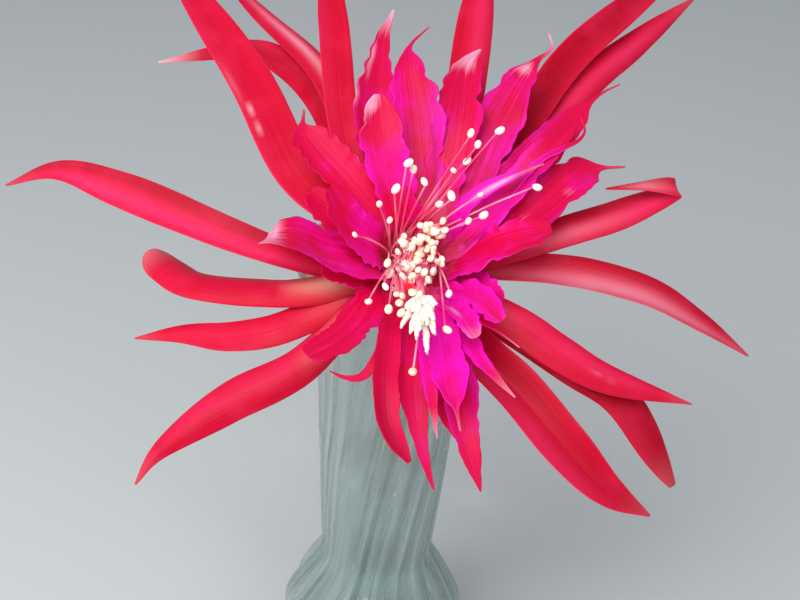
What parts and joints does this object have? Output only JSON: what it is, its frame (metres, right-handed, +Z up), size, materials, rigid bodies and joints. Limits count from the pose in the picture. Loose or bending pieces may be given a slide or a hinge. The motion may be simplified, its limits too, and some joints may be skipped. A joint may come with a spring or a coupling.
{
  "type": "orchid cactus bloom in a glass vase",
  "caption": "Spidery crimson orchid cactus bloom with magenta inner petals, leaning over the rim of a slim glass vase with swirled flutes and water inside.",
  "frame": {"origin": "centre of the flat foot of the vase, on the surface that it stands on", "axes": "+Z up along the vase, -Y to the front, where the bloom leans, +X to the right seen from the front"},
  "size_m": [0.2384, 0.1778, 0.2816],
  "materials": {
    "vase_glass": "satin",
    "vase_water": "clear",
    "tepal_crimson": "satin",
    "petal_magenta": "satin",
    "stamen_cream": "matte",
    "stigma_cream": "matte"
  },
  "bodies": {
    "root": {"vase": "vase_glass", "water": "vase_water", "outer_tepals": "tepal_crimson", "inner_petals": "petal_magenta", "stamens": "stamen_cream", "style": "stigma_cream"}
  },
  "joints": []
}
